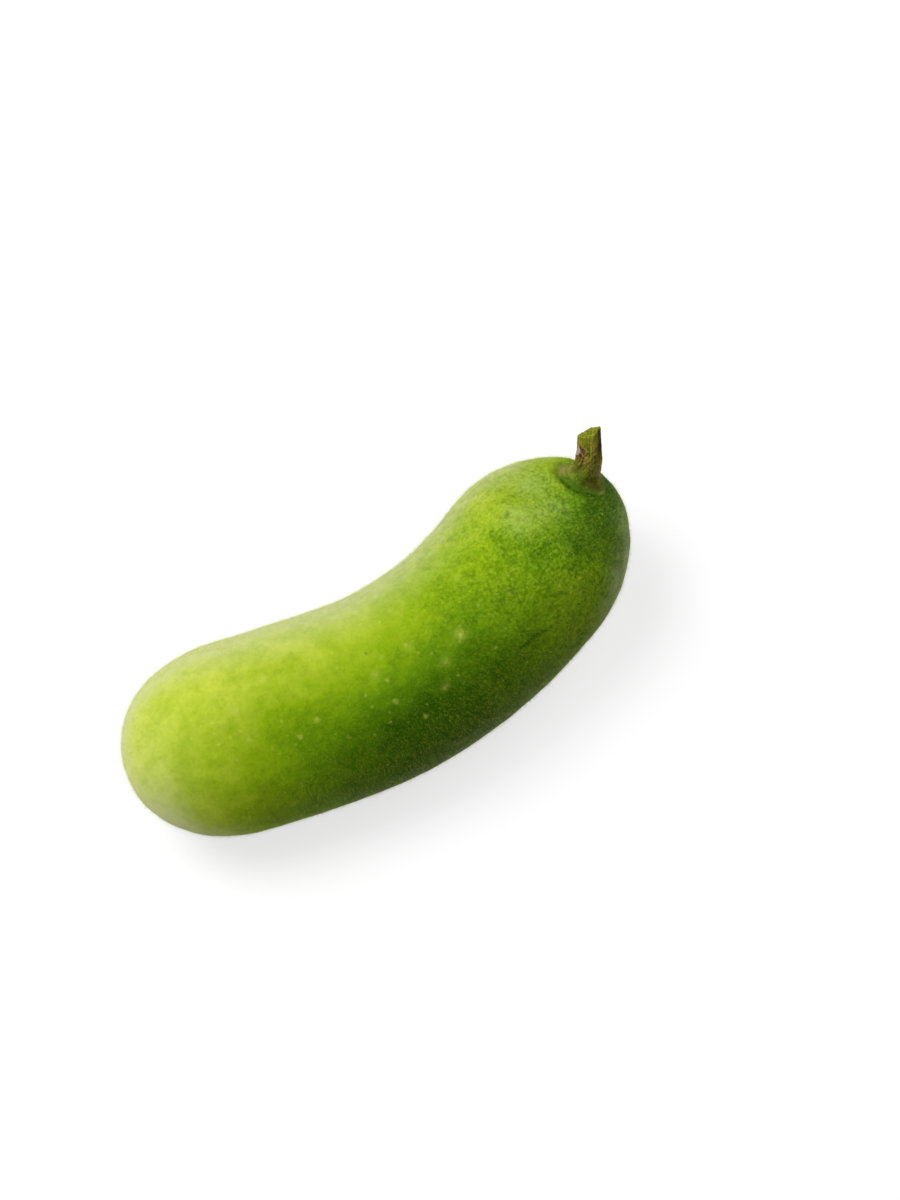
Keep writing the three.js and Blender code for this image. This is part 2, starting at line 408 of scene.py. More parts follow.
def makeSkin():
    capSteps = (np.arange(1, fruit["capRings"] + 1) / fruit["capRings"]) ** fruit["poleCrowding"]
    capPlaces = 1 - np.cos(capSteps * np.pi / 2)
    bodyPlaces = np.linspace(fruit["blossomCap"], bodyEnd, fruit["bodyRings"] + 1)[1:-1]
    stalkPlaces = fruit["length"] - fruit["stalkCap"] * capPlaces[::-1]
    places = np.concatenate([fruit["blossomCap"] * capPlaces, bodyPlaces, stalkPlaces])
    along, angle = gridOf(places, fruit["sides"])
    radius = skinRadius(along)
    plain = fruitPoint(along, radius, angle)
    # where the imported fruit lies
    low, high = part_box("fruit")
    own = (plain.min(axis=(0, 1)) + plain.max(axis=(0, 1))) / 2
    shift = np.array([(low.x + high.x) / 2 / mm - own[0], (low.y + high.y) / 2 / mm - own[1], 0])
    shift[2] = -(plain[..., 2].min() + fruit["groundFlat"])
    # the fruit as if its centreline were straight, for patterns that follow the skin
    straight = unrolled(radius, angle, along)
    relief = skinRelief(along, radius, angle, straight)
    rings = pressedOn(plain + gridNormals(plain) * relief[..., None] + shift)
    blossomPole = fruitCentre(0) + fruitDirection(0) * -fruit["scar"][0] + shift
    stalkPole = fruitCentre(fruit["length"]) + shift
    onStalkEnd = along > bodyEnd
    # bloom, partly real and partly painted highlight
    bloomAndHighlight = np.max(bumpsAt(straight, tones["bloomAndHighlightPatches"]), axis=0)
    greenness = greennessOf(along, angle) + sum(bumpsAt(straight, tones["greenPatches"]))
    greenness += tones["scratchBy"] * bump(fromScratch(straight), tones["scratchWidth"])
    skin = closedLoft("skin", rings, blossomPole, stalkPole, {
        "straight": (straight, (0, 0, 0), (0, 0, fruit["length"])),
        "along": (along / fruit["length"], 0, 1),
        "greenness": (greenness - tones["bloomAndHighlightPales"] * bloomAndHighlight, 0, 0.8),
        "haze": (paintedLightHazeOf(along, angle), tones["paintedLightEnd"], 0),
        "bloomAndHighlight": bloomAndHighlight,
        "marks": sum(bumpsAt(straight, tones["marks"])),
        # share of the painted sheen at the edges
        "rim": (paintedSheenRimOf(along, angle), 0.8, 0),
        "seatDry": spotAt(angle, radius, tones["seatDry"]) * onStalkEnd,
        "seatCreaseShade": spotAt(angle, radius, tones["seatCreaseShade"]) * onStalkEnd,
        "downShare": downOf(along, angle, radius, rings[..., 2]),
        "fromScar": (np.where(along < fruit["blossomCap"], radius, farAway) * mm, 0, farAway * mm),
        "fromFoot": (np.where(onStalkEnd, radius, farAway) * mm, farAway * mm, 0),
    })
    return skin, shift


# the stalk

stalk = {
    "height": 18.2, "rootDepth": 3,
    "footRadius": 8.6, "neckRadius": 5.2, "waistRadius": 4.35, "tipRadius": 4.1,
    "heading": 59.5, "pitch": 51, "bendTop": 11,
    "footLobes": 5, "lobeDepth": 0.05, "footSide": -12, "footShift": 1.3,  # it spreads further to one side
    "bowAngle": 168, "bow": (0.45, 6.5, 4.5),  # it bows to one side on its way up
    "flatBack": (258, 0.7), "flatHeights": (6, 14), "flatDepth": 0.7,
    "ribs": 5, "ribDepth": 0.09, "twist": 0.012,
    # fine lengthwise grooves: how many, depth, phase
    "grooves": ((13, 0.05, 0.4), (19, 0.05, 2.1), (29, 0.045, 4.0), (41, 0.03, 1.2)),
    "cutSlope": 0.42, "cutFacing": 192,
    "notchAngle": 150, "notchHeight": 11.8, "notchWidth": 2.6, "notchLength": 2.8, "notchDepth": 0.9,
    "nickDepth": 0.35, "nickDrop": 3.5,  # a smaller nick below the notch
    # random waves: height, seed, how many, shortest and longest
    "fine": (0.05, 21, 30, 1.2, 3.5), "coarse": (0.09, 22, 16, 4, 9),
    "torn": (0.25, 23, 24, 0.9, 2.2), "sawn": (0.07, 24, 30, 0.7, 1.8),
    # the cut face, as ringAt takes it: fibre bundles, a raised edge and the pith
    "bundles": 8, "bundle": (0.16, 2.75, 0.5), "edge": (0.12, 3.7, 0.35), "pith": (-0.75, 0, 1.25),
    # where its colours lie: heights, and spots as spotAt takes them
    "collarHeights": (1.5, 8.0), "freshHeights": (12.5, 15.5),
    "ridgeSide": (12, 0.42), "ridgeHeights": (9.5, 12.5),
    # the tan side of the shaft is painted paler, as painted light against its shade
    "tanSidePaintedLight": (6, 0.6), "tanHeights": (2.2, 4.2, 6.5, 9.5),
    "brownSpot": (14, 0.4, 5.9, 2.0), "brownTop": 4, "paleSpot": (4, 0.22, 8.0, 0.45),
    "bareRim": (165, 0.5),
    "downHeights": (0.3, 1, 4, 9),
    "sides": 176, "outlineSteps": 104, "faceSteps": 20,
}
foot, neck, waist, tip = (stalk[part + "Radius"] for part in ("foot", "neck", "waist", "tip"))
top = stalk["height"]
poleDirection = fruitDirection(fruit["length"])


def stalkDirection(height):
    own = directionOf(stalk["heading"], stalk["pitch"])
    share = smoothStep(np.asarray(height, float), 0, stalk["bendTop"])[..., None]
    direction = poleDirection + (own - poleDirection) * share
    return direction / np.linalg.norm(direction, axis=-1, keepdims=True)


stalkStart = fruitCentre(fruit["length"]) - poleDirection * stalk["rootDepth"]
stalkLine = walkLine(stalkStart, stalk["height"] + stalk["rootDepth"] + 3,
                     lambda distance: stalkDirection(distance - stalk["rootDepth"]))


def throughPoints(points, count, fineness=24):
    # a smooth curve through points, evenly stepped by its length
    padded = np.vstack([2 * points[0] - points[1], points, 2 * points[-1] - points[-2]])
    fine = []
    for a, b, c, d in zip(padded, padded[1:], padded[2:], padded[3:]):
        t = np.linspace(0, 1, fineness, endpoint=False)[:, None]
        fine.append(0.5 * (2 * b + (c - a) * t + (2 * a - 5 * b + 4 * c - d) * t ** 2
                           + (3 * b - a - 3 * c + d) * t ** 3))
    fine = np.vstack([*fine, points[-1:]])
    reach = np.concatenate([[0], np.cumsum(np.linalg.norm(np.diff(fine, axis=0), axis=1))])
    steps = np.linspace(0, reach[-1], count)
    return np.stack([np.interp(steps, reach, fine[:, 0]), np.interp(steps, reach, fine[:, 1])], axis=1)


def stalkProfile():
    # radius and height over the skin, and the first point on the cut face
    root = [[1.5, -2.6], [foot - 2.2, -2.2]]
    outline = throughPoints(np.array([
        [foot - 0.4, -1.3], [foot, -0.6], [foot - 0.5, -0.15], [foot - 1.3, 0.3],
        [foot - 2.2, 0.8], [neck + 0.45, 1.7], [neck, 3.2], [(neck * 2 + waist) / 3, 7.0],
        [waist + 0.1, 10], [waist, 12.5], [tip, top - 2], [tip, top - 0.45],
    ]), stalk["outlineSteps"])
    rim = [[tip - 0.05, top - 0.2], [tip - 0.2, top - 0.04]]
    faceRadii = np.linspace(tip - 0.45, 0.15, stalk["faceSteps"])
    face = np.stack([faceRadii, np.full(stalk["faceSteps"], float(top))], axis=1)
    return np.vstack([root, outline, rim, face]), len(root) + len(outline)


def makeStalk(shift):
    profile, faceStart = stalkProfile()
    plainRadius, angle = gridOf(profile[:, 0], stalk["sides"])
    lift = gridOf(profile[:, 1], stalk["sides"])[0]
    onFace = gridOf(np.arange(len(profile)) >= faceStart, stalk["sides"])[0]
    fromMiddle = plainRadius / tip
    # the ribs, the foot's lobes, the bow, the flat back and the fine grooves
    footShare = smoothStep(plainRadius, neck + 0.4, foot - 0.8) * ~onFace
    lobes = np.cos(stalk["footLobes"] * angle - 0.7) + 0.5 * np.cos(3 * angle + 2.0)
    twist = angle + stalk["twist"] * lift
    ribs = stalk["ribDepth"] * smoothStep(lift, -1, 3) * np.cos(stalk["ribs"] * twist)
    ribs *= np.where(onFace, fromMiddle, 1)
    radius = plainRadius * (1 + ribs + stalk["lobeDepth"] * footShare * lobes)
    radius += stalk["footShift"] * footShare * facingTo(angle, stalk["footSide"])
    radius += facingTo(angle, stalk["bowAngle"]) * ringAt(lift, stalk["bow"]) * ~onFace
    flat = stalk["flatDepth"] * sideAt(angle, stalk["flatBack"]) * smoothStep(lift, *stalk["flatHeights"])
    radius -= flat * np.where(onFace, fromMiddle, 1)
    grooves = sum(depth * np.cos(count * twist + phase + 0.8 * np.sin(lift / 3 + phase))
                  for count, depth, phase in stalk["grooves"])
    radius += grooves * np.where(onFace, fromMiddle, smoothStep(lift, 0.2, 2.5))
    # the foot lies on the skin, and the shaft follows its own line up to the slanting cut
    fall = fallFromPole(np.minimum(radius, 20))
    cutShare = smoothStep(lift, stalk["bendTop"], top)
    cutHeight = lift - fall + fall * cutShare
    cutHeight -= stalk["cutSlope"] * cutShare * radius * facingTo(angle, stalk["cutFacing"])
    onShaft = pointAround(pointOn(stalkLine, cutHeight + stalk["rootDepth"]),
                          stalkDirection(cutHeight), radius, angle)
    seat = fruit["length"] - fall
    onSeat = pointAround(fruitCentre(seat), fruitDirection(seat), radius, angle)
    onSeat += poleDirection * lift[..., None]
    seatShare = (smoothStep(plainRadius, neck + 0.3, foot - 1.2) * ~onFace)[..., None]
    plain = onShaft + (onSeat - onShaft) * seatShare
    straight = unrolled(radius, angle, lift)
    # the torn notch, the nick, the rough cut and small unevenness
    apart = angleApart(angle, stalk["notchAngle"]) * stalk["waistRadius"]
    aboveNotch = lift - stalk["notchHeight"]
    notch = bump(apart, stalk["notchWidth"]) * bump(aboveNotch, stalk["notchLength"]) * ~onFace
    nick = bump(apart - 1.0, 1.0) * bump(aboveNotch + stalk["nickDrop"], 1.2) * ~onFace
    relief = waves(straight, *stalk["fine"]) + waves(straight, *stalk["coarse"])
    relief *= smoothStep(lift, -0.4, 1.5)
    relief -= (stalk["notchDepth"] + waves(straight, *stalk["torn"])) * notch
    relief -= stalk["nickDepth"] * nick
    bundles = np.maximum(0, np.cos(stalk["bundles"] * angle + 0.5)) ** 2
    faceRelief = ringAt(plainRadius, stalk["bundle"]) * bundles + ringAt(plainRadius, stalk["edge"])
    faceRelief = faceRelief + ringAt(plainRadius, stalk["pith"]) + waves(straight, *stalk["sawn"])
    relief = np.where(onFace, faceRelief * smoothStep(tip - plainRadius, 0, 0.3), relief)
    rings = plain + gridNormals(plain) * relief[..., None] + shift
    ridge, tan = sideAt(angle, stalk["ridgeSide"]), sideAt(angle, stalk["tanSidePaintedLight"])
    footRim = smoothStep(plainRadius, foot - 1.9, foot - 0.6)
    footRim *= (1 - 0.85 * sideAt(angle, stalk["bareRim"]))
    return closedLoft("cut_stalk", rings, rings[0].mean(axis=0), rings[-1].mean(axis=0), {
        "straight": (straight, (0, 0, -2), (0, 0, top)),
        "cutFace": (onFace, 0, 1),
        "notch": notch,
        "ridge": ridge * smoothStep(lift, *stalk["ridgeHeights"]) * ~onFace,
        "collar": ((1 - smoothStep(lift, *stalk["collarHeights"])) * ~onFace, 1, 0),
        "newGreen": (smoothStep(lift, *stalk["freshHeights"]), 0, 1),
        "footRim": (footRim * ~onFace, 1, 0),
        "brown": spotAt(angle, plainRadius, stalk["brownSpot"]) * (lift < stalk["brownTop"]),
        "paleRim": spotAt(angle, plainRadius, stalk["paleSpot"]) * ~onFace,
        "tanSidePaintedLight": tan * band(lift, *stalk["tanHeights"]) * ~onFace,
        "round": angle / (2 * np.pi),
        "downShare": band(lift, *stalk["downHeights"]) * ~onFace,
        "tuftShare": bump(apart - 1.1, 1.2) * bump(aboveNotch, 1.5) * ~onFace,
    })


skin, shift = makeSkin()
print("skin:", len(skin.data.polygons), "faces")
stalkPiece = makeStalk(shift)
print("stalk:", len(stalkPiece.data.polygons), "faces")


# node helpers

def node(tree, kind, inputs=None, **settings):
    made = tree.nodes.new(kind)
    for key, value in settings.items():
        setattr(made, key, value)
    for key, value in (inputs or {}).items():
        if isinstance(value, bpy.types.Node):
            value = value.outputs[0]
        if isinstance(value, bpy.types.NodeSocket):
            tree.links.new(value, made.inputs[key])
        else:
            made.inputs[key].default_value = value
    return made


def maths(tree, operation, first, second=0.5, third=0.0):
    return node(tree, "ShaderNodeMath", {0: first, 1: second, 2: third}, operation=operation).outputs[0]


def times(tree, first, *others):
    for other in others:
        first = maths(tree, "MULTIPLY", first, other)
    return first


def remap(tree, value, low, high, toLow=0.0, toHigh=1.0, soft=True):
    made = node(tree, "ShaderNodeMapRange",
                {"Value": value, "From Min": low, "From Max": high, "To Min": toLow, "To Max": toHigh},
                interpolation_type="SMOOTHSTEP" if soft else "LINEAR")
    return made.outputs["Result"]


def tinted(tree, tone, towards, *shares):
    # a tone moved towards another, by the product of the shares
    inputs = {0: times(tree, *shares), 6: tone, 7: towards}
    return node(tree, "ShaderNodeMix", inputs, data_type="RGBA").outputs[2]


def colour(red, green, blue):
    # a display colour, 0 to 255, as Blender's own scene values
    share = np.array([red, green, blue]) / 255
    linear = np.where(share <= 0.04045, share / 12.92, ((share + 0.055) / 1.055) ** 2.4)
    return (*linear.tolist(), 1.0)


def colourAlong(tree, place, stops):
    made = node(tree, "ShaderNodeValToRGB", {"Fac": place})
    elements = made.color_ramp.elements
    while len(elements) < len(stops):
        elements.new(0.5)
    for element, (position, tone) in zip(elements, stops):
        element.position = position
    for element, (position, tone) in zip(elements, stops):
        element.color = tone
    return made.outputs["Color"]


def attribute(tree, name, output="Fac"):
    return node(tree, "ShaderNodeAttribute", attribute_name=name).outputs[output]


def newTree(name, kind, inputs, outputs):
    tree = bpy.data.node_groups.new(name, kind)
    for way, sockets in (("INPUT", inputs), ("OUTPUT", outputs)):
        for title, socket in sockets.items():
            tree.interface.new_socket(title, in_out=way, socket_type="NodeSocket" + socket)
    return tree, tree.nodes.new("NodeGroupInput").outputs, tree.nodes.new("NodeGroupOutput").inputs


def useGroup(tree, group, inputs):
    return node(tree, "ShaderNodeGroup", inputs, node_tree=group).outputs


# effects that both materials use

dotNumbers = ("Spacing", "Size", "Share", "Softness", "Raggedness")


def makeSpeckle():
    # scattered soft dots of uneven size; Share is how many cells of the spacing hold one
    tree, given, out = newTree("speckle", "ShaderNodeTree",
                               {"Vector": "Vector", **dict.fromkeys(dotNumbers, "Float")}, {"Mask": "Float"})
    scaled = node(tree, "ShaderNodeVectorMath", {0: given["Vector"]}, operation="SCALE")
    tree.links.new(maths(tree, "DIVIDE", 1.0, given["Spacing"]), scaled.inputs["Scale"])
    ragged = node(tree, "ShaderNodeTexNoise", {"Vector": scaled, "Scale": 3.1, "Detail": 2})
    centred = node(tree, "ShaderNodeVectorMath", {0: ragged.outputs["Color"], 1: (0.5, 0.5, 0.5)},
                   operation="SUBTRACT")
    wander = node(tree, "ShaderNodeVectorMath", {0: centred, "Scale": given["Raggedness"]},
                  operation="SCALE")
    moved = node(tree, "ShaderNodeVectorMath", {0: scaled, 1: wander})
    cells = node(tree, "ShaderNodeTexVoronoi", {"Vector": moved, "Scale": 1.0})
    chance = node(tree, "ShaderNodeSeparateColor", {0: cells.outputs["Color"]})
    shown = maths(tree, "LESS_THAN", chance.outputs[0], given["Share"])
    reach = times(tree, given["Size"], remap(tree, chance.outputs[1], 0, 1, 0.4, 1.3, soft=False))
    inner = times(tree, reach, maths(tree, "SUBTRACT", 1.0, given["Softness"]))
    dot = remap(tree, cells.outputs["Distance"], inner, reach, 1.0, 0.0)
    tree.links.new(times(tree, dot, shown), out["Mask"])
    return tree


def makeGrain():
    # an irregular mottle of one size, from 0 to 1, sharper or softer
    tree, given, out = newTree("grain", "ShaderNodeTree",
                               {"Vector": "Vector", "Size": "Float", "Sharpness": "Float"},
                               {"Value": "Float", "Height": "Float"})
    scale = maths(tree, "DIVIDE", 1.0, given["Size"])
    coarse = node(tree, "ShaderNodeTexNoise", {"Vector": given["Vector"], "Scale": scale, "Detail": 3,
                                               "Roughness": 0.55, "Distortion": 0.15})
    fine = node(tree, "ShaderNodeTexNoise",
                {"Vector": given["Vector"], "Scale": times(tree, scale, 2.6), "Detail": 1})
    fine = times(tree, fine.outputs["Fac"], 0.28)
    mixed = maths(tree, "ADD", times(tree, coarse.outputs["Fac"], 0.72), fine)
    halfWidth = maths(tree, "MULTIPLY_ADD", given["Sharpness"], -0.22, 0.28)
    value = remap(tree, mixed, maths(tree, "SUBTRACT", 0.5, halfWidth), maths(tree, "ADD", 0.5, halfWidth))
    tree.links.new(value, out["Value"])
    tree.links.new(mixed, out["Height"])
    return tree


speckle = makeSpeckle()
grain = makeGrain()


def patternsOf(tree, place, look):
    # each mottle and each kind of dots by its name, and the mottles' relief
    found = {}
    for name, (size, sharpness) in look["grains"].items():
        made = useGroup(tree, grain, {"Vector": place, "Size": size * mm, "Sharpness": sharpness})
        found[name], found[name + "Height"] = made["Value"], made["Height"]
    for name, (spacing, *others) in look.get("dots", {}).items():
        inputs = dict(zip(dotNumbers, (spacing * mm, *others)))
        found[name] = useGroup(tree, speckle, {"Vector": place, **inputs})["Mask"]
    return found


def valueOf(tree, values, part):
    # a number, a named value or attribute, or a curve of one: its name, from, to, what they become, and
    # False if it runs straight
    if isinstance(part, tuple):
        return remap(tree, valueOf(tree, values, part[0]), *part[1:])
    if isinstance(part, str):
        return values[part] if part in values else attribute(tree, part)
    return part


def layered(tree, tone, look, values):
    # each layer moves the tone towards its own, by the product of its parts
    for towards, *parts in look["layers"]:
        tone = tinted(tree, tone, look[towards], *(valueOf(tree, values, part) for part in parts))
    return tone


def reliefOf(tree, look, values):
    height = 0.0
    for name, share in look["relief"].items():
        height = maths(tree, "MULTIPLY_ADD", values[name], share, height)
    return height


def newMaterial(name, constants):
    material = bpy.data.materials.new(name)
    material.use_nodes = True
    tree = material.node_tree
    shader = tree.nodes["Principled BSDF"].inputs
    for title, value in constants.items():
        shader[title].default_value = value
    return material, tree, shader


def finishShader(tree, shader, look, tone, rough, height):
    strength, depth = look["bump"]
    relief = node(tree, "ShaderNodeBump", {"Strength": strength, "Distance": depth * mm, "Height": height})
    tree.links.new(tone, shader["Base Color"])
    tree.links.new(rough, shader["Roughness"])
    tree.links.new(relief.outputs["Normal"], shader["Normal"])


# the skin's material

skinFinish = {
    "greens": [
        (0, colour(212, 222, 84)), (0.2, colour(193, 209, 66)), (0.4, colour(169, 193, 42)),
        (0.6, colour(142, 176, 12)), (0.8, colour(102, 146, 6)), (1, colour(49, 91, 2)),
    ],
    "deepGreen": colour(30, 70, 1), "paleGreen": colour(184, 214, 62), "dot": colour(210, 222, 92),
    "freckle": colour(92, 100, 26), "haze": colour(218, 224, 170), "bloomAndHighlight": colour(176, 202, 146),
    "paintedRimSheen": colour(236, 236, 192), "dry": colour(176, 158, 96), "scarBrown": colour(120, 92, 50),
    "constants": {"Sheen Weight": 0.15, "Sheen Roughness": 0.4, "Sheen Tint": colour(232, 236, 128),
                  "Specular IOR Level": 0.03},
    # size and sharpness of the mottles
    "grains": {"cloud": (26, 0.2), "patch": (8.5, 0.35), "mottle": (3, 0.45), "grit": (1.2, 0.4)},
    # dots: spacing, size as a share of it, how many places hold one, softness, raggedness
    "dots": {"pores": (1.4, 0.36, 0.75, 0.9, 0.3), "large": (7.5, 0.18, 0.8, 1, 0.3),
             "small": (4, 0.19, 0.75, 0.9, 0.15), "freckles": (14, 0.05, 0.8, 0.6, 0.1)},
    # the green drifts by these shares of two mottles, and by this curve of the green, as valueOf takes it
    "drifts": {"cloud": 0.16, "patch": 0.18}, "drift": ("greenness", 0.3, 0.9, 1.15, 0.45),
    # where deep and pale mottle grows: towards the stalk, and by the green
    "grown": ("along", 0.45, 0.88, 0.3, 1),
    "deeper": ("greenness", 0.45, 0.8, 0.6, 1), "paler": ("greenness", 0.65, 1, 1, 0.45),
    "markGrain": ("grit", 0.2, 0.8, 0.35, 1.4), "corkRoughness": 0.25,
    "scarEdge": ("fromScar", 2.2 * mm, 4.2 * mm, 1, 0), "scarGrain": ("grit", 0, 0.8, 1, 0.65),
    "bloomAndHighlightMottle": ("mottle", 0, 1, 0.8, 0.35), "bloomAndHighlightGrain": ("grit", 0, 1, 0.7, 0.2),
    "layers": [
        # fine deep and pale mottle
        ("deepGreen", "deeper", ("mottle", 0.35, 1, 0, 0.46)),
        ("deepGreen", "deeper", ("grit", 0.45, 1, 0, 0.42)),
        ("paleGreen", "paler", ("grit", 0.55, 0, 0, 0.38)), ("paleGreen", "paler", "pores", 0.42),
        # pale dots, large and small, single marks and a few dark freckles
        ("dot", "large", 0.42), ("dot", "small", 0.3), ("dot", ("marks", 0, 1, 0, 1, False)),
        ("freckle", ("marks", 0, -1, 0, 1, False)), ("freckle", "freckles", 0.5),
        # a pale haze of painted light, a thin bloom in patches that is partly painted highlight, and the
        # painted sheen of the down where the skin turns away
        ("haze", "haze", ("patch", 0, 1, 1.2, 0.85)), ("bloomAndHighlight", "bloomAndHighlight", "uneven"),
        ("paintedRimSheen", "rim", ("facing", 0.36, 0.95, 0, 0.6), ("mottle", 0, 1, 1.1, 0.8)),
        # round the stalk and on the blossom scar
        # the second of these paints shade into the crease where the stalk sits
        ("deepGreen", ("fromFoot", 8.5 * mm, 13.5 * mm, 0.5, 0)), ("deepGreen", "seatCreaseShade", 0.9),
        ("dry", "seatDry", ("grit", 0, 1, 0.95, 0.6)), ("scarBrown", "cork"),
    ],
    "roughness": ("mottle", 0, 1, 0.45, 0.62, False),
    # strength and depth of the fine relief, and the share that each pattern has in it
    "bump": (0.35, 0.35), "relief": {"pores": 0.25, "gritHeight": 0.5, "mottle": 0.35, "large": 0.2},
}


def makeSkinFinish():
    look = skinFinish
    material, tree, shader = newMaterial("downySkin", look["constants"])
    values = patternsOf(tree, node(tree, "ShaderNodeTexCoord").outputs["Object"], look)

    def named(name):
        return valueOf(tree, values, look[name])

    drift = 0.0
    for name, share in look["drifts"].items():
        drift = maths(tree, "MULTIPLY_ADD", maths(tree, "SUBTRACT", values[name], 0.5), share, drift)
    values["greenness"] = maths(tree, "MULTIPLY_ADD", drift, named("drift"), attribute(tree, "greenness"))
    grown = named("grown")
    values["deeper"] = times(tree, grown, named("deeper"))
    values["paler"] = times(tree, grown, named("paler"))
    values["marks"] = times(tree, attribute(tree, "marks"), named("markGrain"))
    values["uneven"] = maths(tree, "ADD", named("bloomAndHighlightMottle"), named("bloomAndHighlightGrain"))
    values["facing"] = node(tree, "ShaderNodeLayerWeight", {"Blend": 0.5}).outputs["Facing"]
    values["cork"] = times(tree, named("scarEdge"), named("scarGrain"))
    tone = layered(tree, colourAlong(tree, values["greenness"], look["greens"]), look, values)
    rough = maths(tree, "MULTIPLY_ADD", values["cork"], look["corkRoughness"], named("roughness"))
    finishShader(tree, shader, look, tone, rough, reliefOf(tree, look, values))
    return material


# the stalk's material

stalkFinish = {
    "olive": colour(120, 120, 26), "darkOlive": colour(64, 60, 8), "tan": colour(160, 148, 66),
    "paleTan": colour(194, 180, 104),
    "collar": [
        # round the stalk, from its right side over the top
        (0, colour(84, 92, 24)), (0.1, colour(70, 84, 18)), (0.18, colour(56, 86, 8)),
        (0.25, colour(72, 104, 12)), (0.32, colour(116, 142, 34)), (0.38, colour(150, 150, 68)),
        (0.46, colour(172, 158, 98)), (0.56, colour(92, 116, 28)), (0.75, colour(60, 90, 12)),
        (0.9, colour(78, 92, 22)), (1, colour(84, 92, 24)),
    ],
    "brown": colour(74, 52, 10), "rimGreen": colour(72, 112, 12),
    "cutGreen": colour(144, 150, 32), "cutDark": colour(78, 76, 12),
    "notchRed": colour(94, 46, 22), "notchPale": colour(200, 176, 150), "ridge": colour(70, 46, 36),
    "constants": {"Specular IOR Level": 0.1},
    # size and sharpness of the mottles; the streaks run lengthwise
    "grains": {"blotch": (3, 0.6), "grit": (0.8, 0.5)},
    "streaks": {"grains": {"streak": (1, 0.55)}}, "streakShape": (1, 1, 0.16),
    "collarStreak": 0.4, "tornGrit": 0.3,
    "collarLayers": {"layers": [("darkOlive", ("blotch", 0.2, 1, 0, 0.45)),
                                ("cutGreen", ("grit", 0.4, 1, 0, 0.4))]},
    "layers": [
        ("tan", ("blotch", 0.55, 1, 0, 0.6)), ("darkOlive", ("grit", 0.5, 1, 0, 0.6)),
        ("tan", ("grit", 0.4, 0, 0, 0.5)),
        # the foot and the lower shaft
        ("collarTone", ("ragged", 0.1, 0.9, 0, 0.95)), ("brown", "brown", ("blotch", 0, 1, 1, 0.6)),
        ("rimGreen", "footRim", ("blotch", 0, 1, 0.9, 0.6)), ("paleTan", "paleRim", 0.5),
        # the shaft's tan side: real tan, made paler as painted light
        ("paleTan", "tanSidePaintedLight", ("streak", 0, 1, 0.45, 0.9)),
        # the fresher top, a dark brown band up one side, the torn notch and the cut face
        ("cutGreen", "newGreen", ("blotch", 0, 1, 0.75, 0.3)),
        ("ridge", "ridge", ("blotch", 0, 0.6, 0.7, 1)),
        ("notchRed", "torn"), ("notchPale", "torn", ("streak", 0.75, 1, 0, 0.7)),
        ("cutTone", ("cutFace", 0.3, 0.9)),
    ],
    "torn": (0.3, 0.66, 0, 0.95), "sawn": ("grit", 0.3, 0.9),
    "roughness": ("streak", 0, 1, 0.62, 0.82, False),
    # strength and depth of the fine relief, and the share that each pattern has in it
    "bump": (0.6, 0.4), "relief": {"gritHeight": 0.4, "streakHeight": 0.7},
}


def makeStalkFinish():
    look = dict(stalkFinish)
    material, tree, shader = newMaterial("dryStalk", look["constants"])
    place = attribute(tree, "straight", "Vector")
    lengthwise = node(tree, "ShaderNodeMapping", {"Vector": place, "Scale": look["streakShape"]})
    values = patternsOf(tree, place, look) | patternsOf(tree, lengthwise, look["streaks"])
    streak = maths(tree, "SUBTRACT", values["streak"], 0.5)
    values["ragged"] = maths(tree, "MULTIPLY_ADD", streak, look["collarStreak"], attribute(tree, "collar"))
    tornEdge = maths(tree, "MULTIPLY_ADD", values["grit"], look["tornGrit"], attribute(tree, "notch"))
    values["torn"] = remap(tree, tornEdge, *look["torn"])
    collarTone = colourAlong(tree, attribute(tree, "round"), look["collar"])
    look["collarTone"] = layered(tree, collarTone, look | look["collarLayers"], values)
    look["cutTone"] = tinted(tree, look["cutGreen"], look["cutDark"], valueOf(tree, values, look["sawn"]))
    tone = layered(tree, tinted(tree, look["darkOlive"], look["olive"], values["streak"]), look, values)
    rough = valueOf(tree, values, look["roughness"])
    finishShader(tree, shader, look, tone, rough, reliefOf(tree, look, values))
    return material


skin.data.materials.append(makeSkinFinish())
stalkPiece.data.materials.append(makeStalkFinish())
print("materials made")


# the down: small closed hairs scattered over a surface

down = {
    "constants": {"Roughness": 0.6, "Specular IOR Level": 0.05},
    "paleHair": {"Base Color": colour(204, 218, 66)}, "fibre": {"Base Color": colour(248, 226, 196)},
    "leastSize": 0.45, "mostSize": 1.2,
    # piece: hairs, length, width, how far the tip leans over as a share of the length, lean, seed
    "coats": {
        "down_short": (46000, 0.9, 0.04, 0.0, 22, 3), "down_long": (46000, 1.4, 0.04, 0.0, 20, 5),
        "down_bent": (17000, 1.9, 0.045, 0.5, 18, 8), "down_stalk": (900, 0.8, 0.05, 0.0, 35, 13),
        "stalk_fibres": (170, 1.4, 0.12, 0.9, 50, 17),
    },
}


